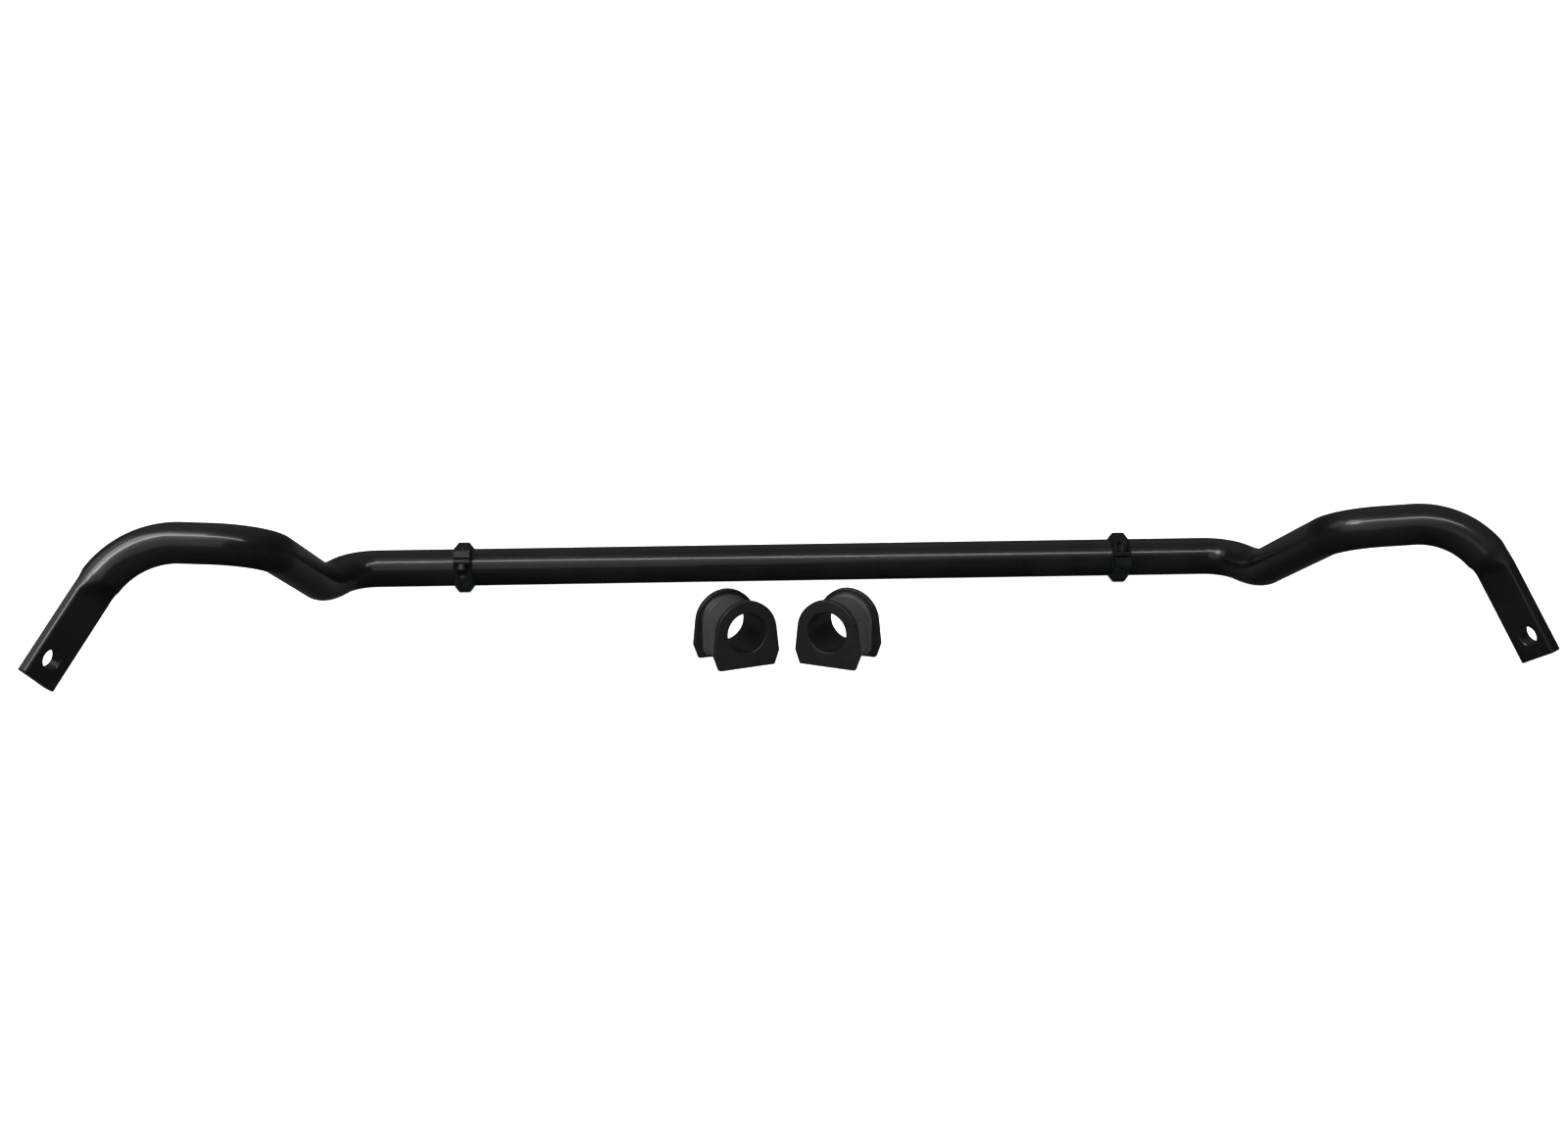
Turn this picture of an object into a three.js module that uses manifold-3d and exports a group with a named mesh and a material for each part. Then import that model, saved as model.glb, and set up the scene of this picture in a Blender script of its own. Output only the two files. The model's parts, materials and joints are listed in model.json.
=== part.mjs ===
// Anti-roll (sway) bar for a four-wheel-drive, laid down as it ships: one forged spring-steel bar,
// two clamp-on lateral locks and two split D-shaped mounting bushes.
// Millimetres. +X runs along the bar to the right, +Y points away from the arm tips, +Z is up.
// The whole is set on its lowest points, with the origin under the middle of its box.

import * as THREE from 'three';
import { mergeVertices } from 'three/addons/utils/BufferGeometryUtils.js';
import Module from 'manifold-3d';

const wasm = await Module();
wasm.setup();

// ---------------------------------------------------------------- driving dimensions

const FIT_GAP = 0.3; // clearance between pieces that touch
const CUT = 60; // length of a cutting tool that has to pass right through
const WELD = 1e-4; // corners closer than this are one corner

// Bar: corners of the bent centreline, measured from the middle of the straight run.
const BAR_RADIUS = 15;
const BAR_SIDES = 32;
const KNEE = [356.6, 0, 0];
const DIP = [373.6, -41.8, -1.3];
const CREST = [385.3, -204.1, 71.1];
const ARMS = {
  left: { side: -1, shoulder: [482.2, -200.9, 75], tip: [536.5, -258.2, -9.3], twist: -26 },
  right: { side: 1, shoulder: [475.8, -219.7, 79.9], tip: [521, -255, -11.9], twist: -25 },
}; // twist: degrees the forged flat is turned about its own length
const KNEE_BEND = 30; // centreline radii of the four bends of each arm
const DIP_BEND = 73;
const CREST_BEND = 40;
const SHOULDER_BEND = 60;
const BEND_STEP = THREE.MathUtils.degToRad(9);

// Forged paddle at each arm tip.
const PADDLE_WIDTH = 32;
const PADDLE_THICKNESS = 10;
const PADDLE_EDGE = 3;
const FLAT_LENGTH = 67; // from the cut end to where the flat runs out
const FORGE_LENGTH = 84; // from the cut end to the fully round bar
const LINK_HOLE_RADIUS = 7.25;
const LINK_HOLE_FROM_TIP = 17.5;
const LINK_HOLE_OFFSET = 2; // above the middle of the flat

// Lateral lock: a two-piece collar, split through its two ears.
const LOCK_POSITION = 267; // from the middle of the bar
const LOCK_BORE = BAR_RADIUS + FIT_GAP;
const LOCK_CROWN_RADIUS = 20.3;
const LOCK_CROWN_HALF = 4.2;
const LOCK_BASE_HALF = 7.5;
const LOCK_LAND = 0.9; // height of the square shoulder below the sloping flank
const LOCK_SPLIT = 1.2;
const LOCK_SIDES = 72;
const EAR_HALF_WIDTH = 6.4;
const EAR_REACH = 24.4;
const EAR_ROOT_OVERLAP = 1; // how far an ear runs into the bore before the bore is cut
const EAR_FLANGE = 3.5; // height of the ear under the screw head
const EAR_FLANGE_SLOPE = 0.6;
const EAR_BLOCK = 10.5; // height of the ear around the thread
const EAR_BLOCK_SLOPE = 4.5;
const SCREW_OFFSET = 19.6;
const SCREW_SIDES = 24;
const SCREW_RADIUS = 2.5;
const SCREW_LENGTH = 12;
const HEAD_RADIUS = 4.25;
const HEAD_HEIGHT = 5;
const HEAD_SIDES = 40;
const HEAD_POCKET_RADIUS = 4.6;
const HEX_ACROSS_FLATS = 4;
const HEX_DEPTH = 2.5;
const HEX_SIDES = 6;
const LOCKS = {
  left: { side: -1, tilt: THREE.MathUtils.degToRad(-31.5), turned: Math.PI },
  right: { side: 1, tilt: THREE.MathUtils.degToRad(-15), turned: 0 },
};

// Mounting bush: a D-shaped sleeve between two wider flanges, slit along one side.
const BUSH_LENGTH = 41;
const BUSH_BORE_RADIUS = BAR_RADIUS;
const BUSH_BORE_SIDES = 64;
const BUSH_AXIS_HEIGHT = 25.8;
const BUSH_ARC_SEGMENTS = 24;
const FLANGE_THICKNESS = 4.5;
const FLANGE_TOP_RADIUS = 23.6;
const FLANGE_HALF_WIDTH = 25.4;
const FLANGE_WIDEST_HEIGHT = 10.4;
const FLANGE_BASE_HALF = 21.6;
const BODY_RADIUS = 18;
const BODY_BASE_HALF = 12;
const BODY_SIDE_START = 7;
const SLIT_WIDTH = 0.6;
const SLIT_RISE = THREE.MathUtils.degToRad(20); // above the level of the bore's axis
const BUSHES = {
  left: { slitSide: -1, front: [-44, -222.5], turn: THREE.MathUtils.degToRad(22.7) },
  right: { slitSide: 1, front: [12.6, -224.2], turn: THREE.MathUtils.degToRad(-28.6) },
};

// ---------------------------------------------------------------- materials

const powderCoat = { color: 0x191a1b, roughness: 0.42, metalness: 0.25 };
const anodised = { color: 0x16181a, roughness: 0.5, metalness: 0.6 };
const screwBlack = { color: 0x0f1011, roughness: 0.4, metalness: 0.8 };
const urethane = { color: 0x1d1d1e, roughness: 0.55, metalness: 0 };

// ---------------------------------------------------------------- helpers

function solidFrom(geometry) {
  const bare = geometry.clone();
  bare.deleteAttribute('normal');
  bare.deleteAttribute('uv');
  const merged = mergeVertices(bare, WELD);
  const vertProperties = Float32Array.from(merged.attributes.position.array);
  const triVerts = Uint32Array.from(merged.index.array);
  return new wasm.Manifold(new wasm.Mesh({ numProp: 3, vertProperties, triVerts }));
}

function meshFrom(name, solid, finish) {
  const { vertProperties, triVerts } = solid.getMesh();
  const geometry = new THREE.BufferGeometry();
  geometry.setAttribute('position', new THREE.BufferAttribute(vertProperties, 3));
  geometry.setIndex(new THREE.BufferAttribute(triVerts, 1));
  geometry.computeVertexNormals();
  const mesh = new THREE.Mesh(geometry, new THREE.MeshStandardMaterial(finish));
  mesh.name = name;
  return mesh;
}

// A round cutter or shank of the given radius, standing on its lower end at `base` along +Z.
function rod(radius, height, base, sides) {
  const geometry = new THREE.CylinderGeometry(radius, radius, height, sides);
  geometry.rotateX(Math.PI / 2);
  geometry.translate(base.x, base.y, base.z + height / 2);
  return geometry;
}

function block(low, high) {
  const box = new THREE.Box3(new THREE.Vector3(...low), new THREE.Vector3(...high));
  const size = box.getSize(new THREE.Vector3());
  const centre = box.getCenter(new THREE.Vector3());
  return new THREE.BoxGeometry(size.x, size.y, size.z).translate(centre.x, centre.y, centre.z);
}

// ---------------------------------------------------------------- bar

function armPoint([x, y, z], side) {
  return new THREE.Vector3(x * side, y, z);
}

// Straight runs joined by circular bends, with stations only where the run turns or changes section.
function barStations(corners, radii) {
  const stations = [];
  const direction = (a, b) => b.clone().sub(a).normalize();
  const add = (point, tangent) => stations.push({ point: point.clone(), tangent: tangent.clone() });
  add(corners[0], direction(corners[0], corners[1]));
  for (let i = 1; i < corners.length - 1; i += 1) {
    const arriving = direction(corners[i - 1], corners[i]);
    const leaving = direction(corners[i], corners[i + 1]);
    const turn = arriving.angleTo(leaving);
    const radius = radii[i - 1];
    const start = corners[i].clone().addScaledVector(arriving, -radius * Math.tan(turn / 2));
    const inward = leaving.clone().addScaledVector(arriving, -leaving.dot(arriving)).normalize();
    const centre = start.clone().addScaledVector(inward, radius);
    const steps = Math.ceil(turn / BEND_STEP);
    for (let k = 0; k <= steps; k += 1) {
      const angle = (turn * k) / steps;
      const spoke = inward.clone().multiplyScalar(-Math.cos(angle));
      spoke.addScaledVector(arriving, Math.sin(angle));
      const tangent = arriving.clone().multiplyScalar(Math.cos(angle));
      tangent.addScaledVector(inward, Math.sin(angle));
      add(centre.clone().addScaledVector(spoke, radius), tangent);
    }
  }
  add(corners.at(-1), direction(corners.at(-2), corners.at(-1)));
  return stations;
}

// The forged zone needs a section where the flat runs out, on the straight run behind each tip.
function withFlatEnds(stations) {
  const first = stations[0];
  const last = stations.at(-1);
  const inset = (station, distance) => ({
    point: station.point.clone().addScaledVector(station.tangent, distance),
    tangent: station.tangent.clone(),
  });
  return [first, inset(first, FLAT_LENGTH), ...stations.slice(1, -1), inset(last, -FLAT_LENGTH), last];
}

class StationCurve extends THREE.Curve {
  constructor(stations) {
    super();
    this.stations = stations;
  }

  getPointAt(u) {
    return this.stations[Math.round(u * (this.stations.length - 1))].point.clone();
  }

  getTangentAt(u) {
    return this.stations[Math.round(u * (this.stations.length - 1))].tangent.clone();
  }
}

// Width and thickness directions of a paddle whose length runs along `along`.
function paddleFrame(along, twistDegrees) {
  const twist = THREE.MathUtils.degToRad(twistDegrees);
  const face = new THREE.Vector3(Math.sign(along.x), 0, 0);
  face.addScaledVector(along, -face.dot(along)).normalize();
  const width = new THREE.Vector3().crossVectors(along, face);
  if (width.z < 0) width.negate();
  const flatNormal = face.clone().multiplyScalar(Math.cos(twist));
  flatNormal.addScaledVector(width, Math.sin(twist));
  const flatWidth = width.clone().multiplyScalar(Math.cos(twist));
  flatWidth.addScaledVector(face, -Math.sin(twist));
  return { along, normal: flatNormal, width: flatWidth };
}

// Point of the paddle's rounded-rectangle section for an angle round the bar, as [width, thickness].
// One eighth of each quadrant is the short side, half is the rounded edge, the rest is the flat.
function paddleOutline(angle) {
  const quarter = Math.PI / 2;
  const folded = Math.abs(Math.atan2(Math.abs(Math.sin(angle)), Math.abs(Math.cos(angle)))) / quarter;
  const straightX = PADDLE_WIDTH / 2 - PADDLE_EDGE;
  const straightY = PADDLE_THICKNESS / 2 - PADDLE_EDGE;
  const edgeStart = 0.125;
  const edgeEnd = 0.625;
  let x = straightX + PADDLE_EDGE;
  let y = (straightY * folded) / edgeStart;
  if (folded > edgeEnd) {
    x = (straightX * (1 - folded)) / (1 - edgeEnd);
    y = straightY + PADDLE_EDGE;
  } else if (folded > edgeStart) {
    const round = (quarter * (folded - edgeStart)) / (edgeEnd - edgeStart);
    x = straightX + PADDLE_EDGE * Math.cos(round);
    y = straightY + PADDLE_EDGE * Math.sin(round);
  }
  return [x * Math.sign(Math.cos(angle)), y * Math.sign(Math.sin(angle))];
}

// Distance of every station from the nearer end of the bar, measured along it.
function distancesFromEnds(stations) {
  const run = [0];
  for (let i = 1; i < stations.length; i += 1) {
    run.push(run[i - 1] + stations[i].point.distanceTo(stations[i - 1].point));
  }
  return run.map((distance) => Math.min(distance, run.at(-1) - distance));
}

function stationOf(vertex, stations) {
  let nearest = 0;
  let smallest = Infinity;
  stations.forEach((station, index) => {
    const offset = vertex.clone().sub(station.point);
    const miss = Math.abs(offset.dot(station.tangent)) + Math.abs(offset.length() - BAR_RADIUS);
    if (miss < smallest) {
      smallest = miss;
      nearest = index;
    }
  });
  return nearest;
}

// Press the ends of the round bar flat, ring by ring.
function forgeEnds(geometry, stations, frames) {
  const distances = distancesFromEnds(stations);
  const position = geometry.attributes.position;
  const vertex = new THREE.Vector3();
  for (let i = 0; i < position.count; i += 1) {
    vertex.fromBufferAttribute(position, i);
    const index = stationOf(vertex, stations);
    const { point, tangent } = stations[index];
    const intoForge = FORGE_LENGTH - distances[index];
    const pressed = THREE.MathUtils.smoothstep(intoForge, 0, FORGE_LENGTH - FLAT_LENGTH);
    if (pressed === 0) continue;
    const frame = index < stations.length / 2 ? frames.left : frames.right;
    const width = frame.width.clone().addScaledVector(tangent, -frame.width.dot(tangent)).normalize();
    const normal = new THREE.Vector3().crossVectors(width, tangent);
    const offset = vertex.clone().sub(point);
    const round = [offset.dot(width), offset.dot(normal)];
    const flat = paddleOutline(Math.atan2(round[1], round[0]));
    vertex.copy(point);
    vertex.addScaledVector(width, THREE.MathUtils.lerp(round[0], flat[0], pressed));
    vertex.addScaledVector(normal, THREE.MathUtils.lerp(round[1], flat[1], pressed));
    position.setXYZ(i, vertex.x, vertex.y, vertex.z);
  }
}

function linkHole(tip, frame) {
  const centre = tip.clone().addScaledVector(frame.along, -LINK_HOLE_FROM_TIP);
  centre.addScaledVector(frame.width, LINK_HOLE_OFFSET);
  const cutter = new THREE.CylinderGeometry(LINK_HOLE_RADIUS, LINK_HOLE_RADIUS, CUT, BAR_SIDES);
  const turn = new THREE.Quaternion().setFromUnitVectors(new THREE.Vector3(0, 1, 0), frame.normal);
  return cutter.applyQuaternion(turn).translate(centre.x, centre.y, centre.z);
}

function buildBar() {
  const armCorners = ({ side, shoulder, tip }) => {
    return [KNEE, DIP, CREST, shoulder, tip].map((corner) => armPoint(corner, side));
  };
  const left = armCorners(ARMS.left);
  const right = armCorners(ARMS.right);
  const bends = [KNEE_BEND, DIP_BEND, CREST_BEND, SHOULDER_BEND];
  const bent = barStations([...left.reverse(), ...right], [...bends.slice().reverse(), ...bends]);
  const stations = withFlatEnds(bent);
  const frames = {
    left: paddleFrame(stations[0].tangent.clone().negate(), ARMS.left.twist),
    right: paddleFrame(stations.at(-1).tangent.clone(), ARMS.right.twist),
  };
  const section = new THREE.Shape().absarc(0, 0, BAR_RADIUS, 0, 2 * Math.PI);
  const geometry = new THREE.ExtrudeGeometry(section, {
    steps: stations.length - 1,
    curveSegments: BAR_SIDES / 2,
    extrudePath: new StationCurve(stations),
  });
  forgeEnds(geometry, stations, frames);
  let bar = solidFrom(geometry);
  bar = bar.subtract(solidFrom(linkHole(stations[0].point, frames.left)));
  bar = bar.subtract(solidFrom(linkHole(stations.at(-1).point, frames.right)));
  return meshFrom('sway_bar', bar, powderCoat);
}

// ---------------------------------------------------------------- lateral locks

// Local frame of a lock: X along the bar, Y across the ears, Z square to the split.

function lockRing() {
  const shoulder = LOCK_BORE + LOCK_LAND;
  const profile = [
    new THREE.Vector2(LOCK_BORE, -LOCK_BASE_HALF),
    new THREE.Vector2(shoulder, -LOCK_BASE_HALF),
    new THREE.Vector2(LOCK_CROWN_RADIUS, -LOCK_CROWN_HALF),
    new THREE.Vector2(LOCK_CROWN_RADIUS, LOCK_CROWN_HALF),
    new THREE.Vector2(shoulder, LOCK_BASE_HALF),
    new THREE.Vector2(LOCK_BORE, LOCK_BASE_HALF),
    new THREE.Vector2(LOCK_BORE, -LOCK_BASE_HALF),
  ];
  return solidFrom(new THREE.LatheGeometry(profile, LOCK_SIDES).rotateZ(Math.PI / 2));
}

// An ear of the half that lies on +Z, reaching out along +Y or -Y, with its outer corner sloped off.
function ear(reachSide, height, slope) {
  const outline = new THREE.Shape();
  const root = LOCK_BORE - EAR_ROOT_OVERLAP;
  const top = LOCK_SPLIT / 2 + height;
  outline.moveTo(root, 0);
  outline.lineTo(EAR_REACH, 0);
  outline.lineTo(EAR_REACH, top - slope);
  outline.lineTo(EAR_REACH - slope, top);
  outline.lineTo(root, top);
  const geometry = new THREE.ExtrudeGeometry(outline, { depth: 2 * EAR_HALF_WIDTH, bevelEnabled: false });
  geometry.translate(0, 0, -EAR_HALF_WIDTH);
  const across = new THREE.Vector3(0, reachSide, 0);
  const up = new THREE.Vector3(0, 0, 1);
  const along = new THREE.Vector3().crossVectors(across, up);
  return solidFrom(geometry.applyMatrix4(new THREE.Matrix4().makeBasis(across, up, along)));
}

// Both halves are the same piece: a thread in the ear on +Y and a screw head over the ear on -Y.
function lockHalf() {
  const overSplit = block([-CUT, -CUT, LOCK_SPLIT / 2], [CUT, CUT, CUT]);
  const barSpace = rod(LOCK_BORE, CUT, new THREE.Vector3(0, 0, -CUT / 2), LOCK_SIDES).rotateY(Math.PI / 2);
  const pocketFloor = LOCK_SPLIT / 2 + EAR_FLANGE;
  const pocket = rod(HEAD_POCKET_RADIUS, CUT, new THREE.Vector3(0, -SCREW_OFFSET, pocketFloor), HEAD_SIDES);
  const holeRadius = SCREW_RADIUS + FIT_GAP;
  const hole = (y) => solidFrom(rod(holeRadius, CUT, new THREE.Vector3(0, y, -CUT / 2), SCREW_SIDES));
  return lockRing()
    .add(ear(1, EAR_BLOCK, EAR_BLOCK_SLOPE))
    .add(ear(-1, EAR_FLANGE, EAR_FLANGE_SLOPE))
    .subtract(solidFrom(barSpace))
    .subtract(solidFrom(pocket))
    .subtract(hole(SCREW_OFFSET))
    .subtract(hole(-SCREW_OFFSET))
    .intersect(solidFrom(overSplit));
}

// Socket-head cap screw with its head up, on the ear at -Y of the half that lies on +Z.
function capScrew() {
  const seat = LOCK_SPLIT / 2 + EAR_FLANGE + FIT_GAP;
  const at = (z) => new THREE.Vector3(0, -SCREW_OFFSET, z);
  const socketFloor = at(seat + HEAD_HEIGHT - HEX_DEPTH);
  const socket = rod(HEX_ACROSS_FLATS / Math.sqrt(3), CUT, socketFloor, HEX_SIDES);
  const shankIntoHead = SCREW_LENGTH + HEAD_HEIGHT / 2;
  return solidFrom(rod(HEAD_RADIUS, HEAD_HEIGHT, at(seat), HEAD_SIDES))
    .add(solidFrom(rod(SCREW_RADIUS, shankIntoHead, at(seat - SCREW_LENGTH), SCREW_SIDES)))
    .subtract(solidFrom(socket));
}

// Pieces of a lock: the sliding half below the split, the lifting half above it, and their two screws.
function buildLock(label, { side, tilt, turned }) {
  const lock = new THREE.Group();
  lock.position.x = side * LOCK_POSITION;
  lock.rotation.set(tilt, 0, 0);
  const turnedGroup = new THREE.Group();
  turnedGroup.rotation.z = turned;
  lock.add(turnedGroup);
  const half = lockHalf();
  const screw = capScrew();
  const addPair = (upper, lower, solid, finish) => {
    turnedGroup.add(meshFrom(upper, solid, finish));
    const flipped = meshFrom(lower, solid, finish);
    flipped.rotation.x = Math.PI;
    turnedGroup.add(flipped);
  };
  addPair(`${label}_lock_upper_half`, `${label}_lock_lower_half`, half, anodised);
  addPair(`${label}_lock_upper_screw`, `${label}_lock_lower_screw`, screw, screwBlack);
  return lock;
}

// ---------------------------------------------------------------- bushes

// Local frame of a bush: X across, Y along the bore from the front face, Z up from the base.

function flangeOutline() {
  const outline = new THREE.Shape();
  const rise = BUSH_AXIS_HEIGHT - FLANGE_WIDEST_HEIGHT;
  const reach = Math.hypot(FLANGE_HALF_WIDTH, rise);
  const tangentAngle = Math.acos(FLANGE_TOP_RADIUS / reach) - Math.atan2(rise, FLANGE_HALF_WIDTH);
  outline.moveTo(-FLANGE_BASE_HALF, 0);
  outline.lineTo(FLANGE_BASE_HALF, 0);
  outline.lineTo(FLANGE_HALF_WIDTH, FLANGE_WIDEST_HEIGHT);
  outline.absarc(0, BUSH_AXIS_HEIGHT, FLANGE_TOP_RADIUS, tangentAngle, Math.PI - tangentAngle);
  outline.lineTo(-FLANGE_HALF_WIDTH, FLANGE_WIDEST_HEIGHT);
  return outline;
}

function bodyOutline() {
  const outline = new THREE.Shape();
  outline.moveTo(-BODY_BASE_HALF, 0);
  outline.lineTo(BODY_BASE_HALF, 0);
  outline.lineTo(BODY_RADIUS, BODY_SIDE_START);
  outline.absarc(0, BUSH_AXIS_HEIGHT, BODY_RADIUS, 0, Math.PI);
  outline.lineTo(-BODY_RADIUS, BODY_SIDE_START);
  return outline;
}

// A slice of the bush between two distances behind its front face.
function bushSlice(outline, from, to) {
  const depth = to - from;
  const options = { depth, bevelEnabled: false, curveSegments: BUSH_ARC_SEGMENTS };
  const geometry = new THREE.ExtrudeGeometry(outline, options);
  return solidFrom(geometry.rotateX(Math.PI / 2).translate(0, to, 0));
}

function bushSolid(slitSide) {
  const boreStart = new THREE.Vector3(0, -BUSH_AXIS_HEIGHT, -CUT);
  const bore = rod(BUSH_BORE_RADIUS, 2 * CUT, boreStart, BUSH_BORE_SIDES);
  const slit = block([0, -CUT, -SLIT_WIDTH / 2], [CUT, CUT, SLIT_WIDTH / 2]);
  slit.rotateY(slitSide > 0 ? -SLIT_RISE : SLIT_RISE - Math.PI).translate(0, 0, BUSH_AXIS_HEIGHT);
  const overlap = FLANGE_THICKNESS / 2;
  return bushSlice(bodyOutline(), overlap, BUSH_LENGTH - overlap)
    .add(bushSlice(flangeOutline(), 0, FLANGE_THICKNESS))
    .add(bushSlice(flangeOutline(), BUSH_LENGTH - FLANGE_THICKNESS, BUSH_LENGTH))
    .subtract(solidFrom(bore.rotateX(-Math.PI / 2)))
    .subtract(solidFrom(slit));
}

function buildBush(label, { slitSide, front, turn }, floor) {
  const bush = meshFrom(`${label}_bush`, bushSolid(slitSide), urethane);
  bush.position.set(front[0], front[1], floor);
  bush.rotation.z = turn;
  return bush;
}

// ---------------------------------------------------------------- assembly

const laidOut = new THREE.Group();
laidOut.add(buildBar());
laidOut.add(buildLock('left', LOCKS.left));
laidOut.add(buildLock('right', LOCKS.right));
const floor = new THREE.Box3().setFromObject(laidOut, true).min.z;
laidOut.add(buildBush('left', BUSHES.left, floor));
laidOut.add(buildBush('right', BUSHES.right, floor));

const extent = new THREE.Box3().setFromObject(laidOut, true);
const middle = extent.getCenter(new THREE.Vector3());
laidOut.position.set(-middle.x, -middle.y, -extent.min.z);

const swayBar = new THREE.Group();
swayBar.add(laidOut);

export default swayBar;
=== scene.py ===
"""Looks of a four-wheel-drive sway bar kit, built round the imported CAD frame.

The forged bar, the two split locks with their cap screws and the two D-shaped bushes are each
built here as smooth meshes that stand for their CAD nodes. Metres, in the row frame.
"""

import json
import math

import bmesh
import bpy
import numpy as np
from mathutils import Matrix, Vector


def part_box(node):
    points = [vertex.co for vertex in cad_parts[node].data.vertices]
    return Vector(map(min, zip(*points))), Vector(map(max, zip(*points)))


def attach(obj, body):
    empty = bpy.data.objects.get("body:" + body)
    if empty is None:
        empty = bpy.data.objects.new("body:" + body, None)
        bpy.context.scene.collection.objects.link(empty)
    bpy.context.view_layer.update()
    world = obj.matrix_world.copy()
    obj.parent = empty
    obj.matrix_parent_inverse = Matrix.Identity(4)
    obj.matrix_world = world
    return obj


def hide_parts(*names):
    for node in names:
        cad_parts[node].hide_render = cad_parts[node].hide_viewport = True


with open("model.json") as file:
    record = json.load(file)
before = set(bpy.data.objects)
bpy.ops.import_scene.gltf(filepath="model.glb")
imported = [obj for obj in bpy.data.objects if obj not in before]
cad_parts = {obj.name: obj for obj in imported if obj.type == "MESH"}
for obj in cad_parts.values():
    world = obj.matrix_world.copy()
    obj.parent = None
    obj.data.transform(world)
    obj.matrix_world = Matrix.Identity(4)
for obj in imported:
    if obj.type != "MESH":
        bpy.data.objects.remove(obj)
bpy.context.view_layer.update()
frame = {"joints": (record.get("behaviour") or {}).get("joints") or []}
joints = {joint["name"]: joint for joint in frame["joints"]}

MM = 0.001
FULL_TURN = 2 * math.pi

# ------------------------------------------------------------------ dimensions, in millimetres

BAR_RADIUS = 15
BAR_SIDES = 64
TINY = 1e-9
PARALLEL = 1e-12
KNEE = (356.6, 0, 0)
DIP = (373.6, -41.8, -1.3)
CREST = (385.3, -204.1, 71.1)
ARMS = {
    "left": {"side": -1, "shoulder": (482.2, -200.9, 75), "tip": (536.5, -258.2, -9.3)},
    "right": {"side": 1, "shoulder": (475.8, -219.7, 79.9), "tip": (521, -255, -11.9)},
}
TWISTS = {"left": math.radians(-26), "right": math.radians(-25)}
BEND_RADII = (30, 73, 40, 60)
BEND_STEP = math.radians(2)
FLAT_RINGS = 8
FORGE_RINGS = 19
ROUNDING_STEPS = 4
RING_SPARE = 1.5
PADDLE_WIDTH = 32
PADDLE_THICKNESS = 10
PADDLE_EDGE = 3
END_ROUNDING = 0.9
FLAT_LENGTH = 67
SHOULDER_LENGTH = 80
FORGE_LENGTH = 84
HOLE_RADIUS = 7.25
HOLE_FROM_TIP = 17.5
HOLE_OFFSET = 2
HOLE_CHAMFER = 0.5
HOLE_SIDES = 64
CUTTER_SPARE = 1.0

LOCK_BORE = 15.3
LOCK_CROWN_RADIUS = 20.3
LOCK_CROWN_HALF = 4.2
LOCK_BASE_HALF = 7.5
LOCK_LAND = 0.9
LOCK_SPLIT = 1.2
LOCK_SIDES = 144
LOCK_OVERLAP = 1
LOCK_CUT = 40
EAR_HALF_WIDTH = 6.4
EAR_REACH = 24.4
EAR_FLANGE = 3.5
EAR_FLANGE_SLOPE = 0.6
EAR_BLOCK = 10.5
EAR_BLOCK_SLOPE = 4.5
LOCK_EDGE = 0.35
SCREW_OFFSET = 19.6
SCREW_RADIUS = 2.5
SCREW_LENGTH = 12
SCREW_PITCH = 0.8
SCREW_SIDES = 72
SCREW_HOLE_SIDES = 48
THREAD_DEPTH = 0.42
THREAD_STEPS = 105
THREAD_CLEAR_OF_HEAD = 1
SCREW_POINT_DEPTH = 0.5
SCREW_POINT_LENGTH = 0.4
SHANK_LENGTH = 0.6
SHANK_SHARE = 0.98
HEAD_RADIUS = 4.25
HEAD_HEIGHT = 5
HEAD_EDGE = 0.45
HEAD_SEAT_EDGE = 0.2
HEAD_POCKET_RADIUS = 4.6
HEAD_POCKET_SIDES = 64
KNURL_DEPTH = 0.05
HEX_ACROSS_FLATS = 4
HEX_DEPTH = 2.5
HEX_MOUTH = 0.55
HEX_BEVEL_DEPTHS = (0.25, 0.4)
HEX_BEVEL_SHARE = 1.02
HEX_FLOOR_SHARE = 0.4
HEX_FLOOR_DEPTH = 0.5
FIT_GAP = 0.3

BUSH_LENGTH = 41
BUSH_BORE_RADIUS = 15
BUSH_AXIS_HEIGHT = 25.8
FLANGE_THICKNESS = 4.5
FLANGE_TOP_RADIUS = 23.6
FLANGE_HALF_WIDTH = 25.4
FLANGE_WIDEST_HEIGHT = 10.4
FLANGE_BASE_HALF = 21.6
FLANGE_BASE_CORNER = 0.5
FLANGE_WIDEST_CORNER = 0.8
FLANGE_OUTER_EDGE = 0.6
FLANGE_INNER_EDGE = 0.7
BODY_RADIUS = 18
BODY_BASE_HALF = 12
BODY_SIDE_START = 7
BODY_BASE_CORNER = 2
BODY_SIDE_CORNER = 3
BODY_CLEARANCE = 0.5
BORE_CHAMFER = 0.35
BEAD = 1.5
BEAD_FRONT_SHARE = 0.4
FILLET = 0.9
DOME_STEPS = 48
EDGE_STEPS = 5
BUSH_DIRECTIONS = 193
# Half-length of the bush body that gets a painted sheen: a lighter colour standing in for reflected
# light.
PAINTED_SHEEN_REACH = 14.5
SLIT_WIDTH = 0.15
SLIT_ANGLES = {"left": math.radians(160), "right": math.radians(20)}
BUSH_TURNS = {"left": math.radians(22.7), "right": math.radians(-28.6)}

# Brightness of the surroundings from straight below (0) to straight above (1).
WORLD_GREYS = ((0, 0.0), (0.15, 0.01), (0.35, 0.09), (0.55, 0.05), (0.7, 0.05), (0.9, 0.22),
               (1, 0.22))

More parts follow.
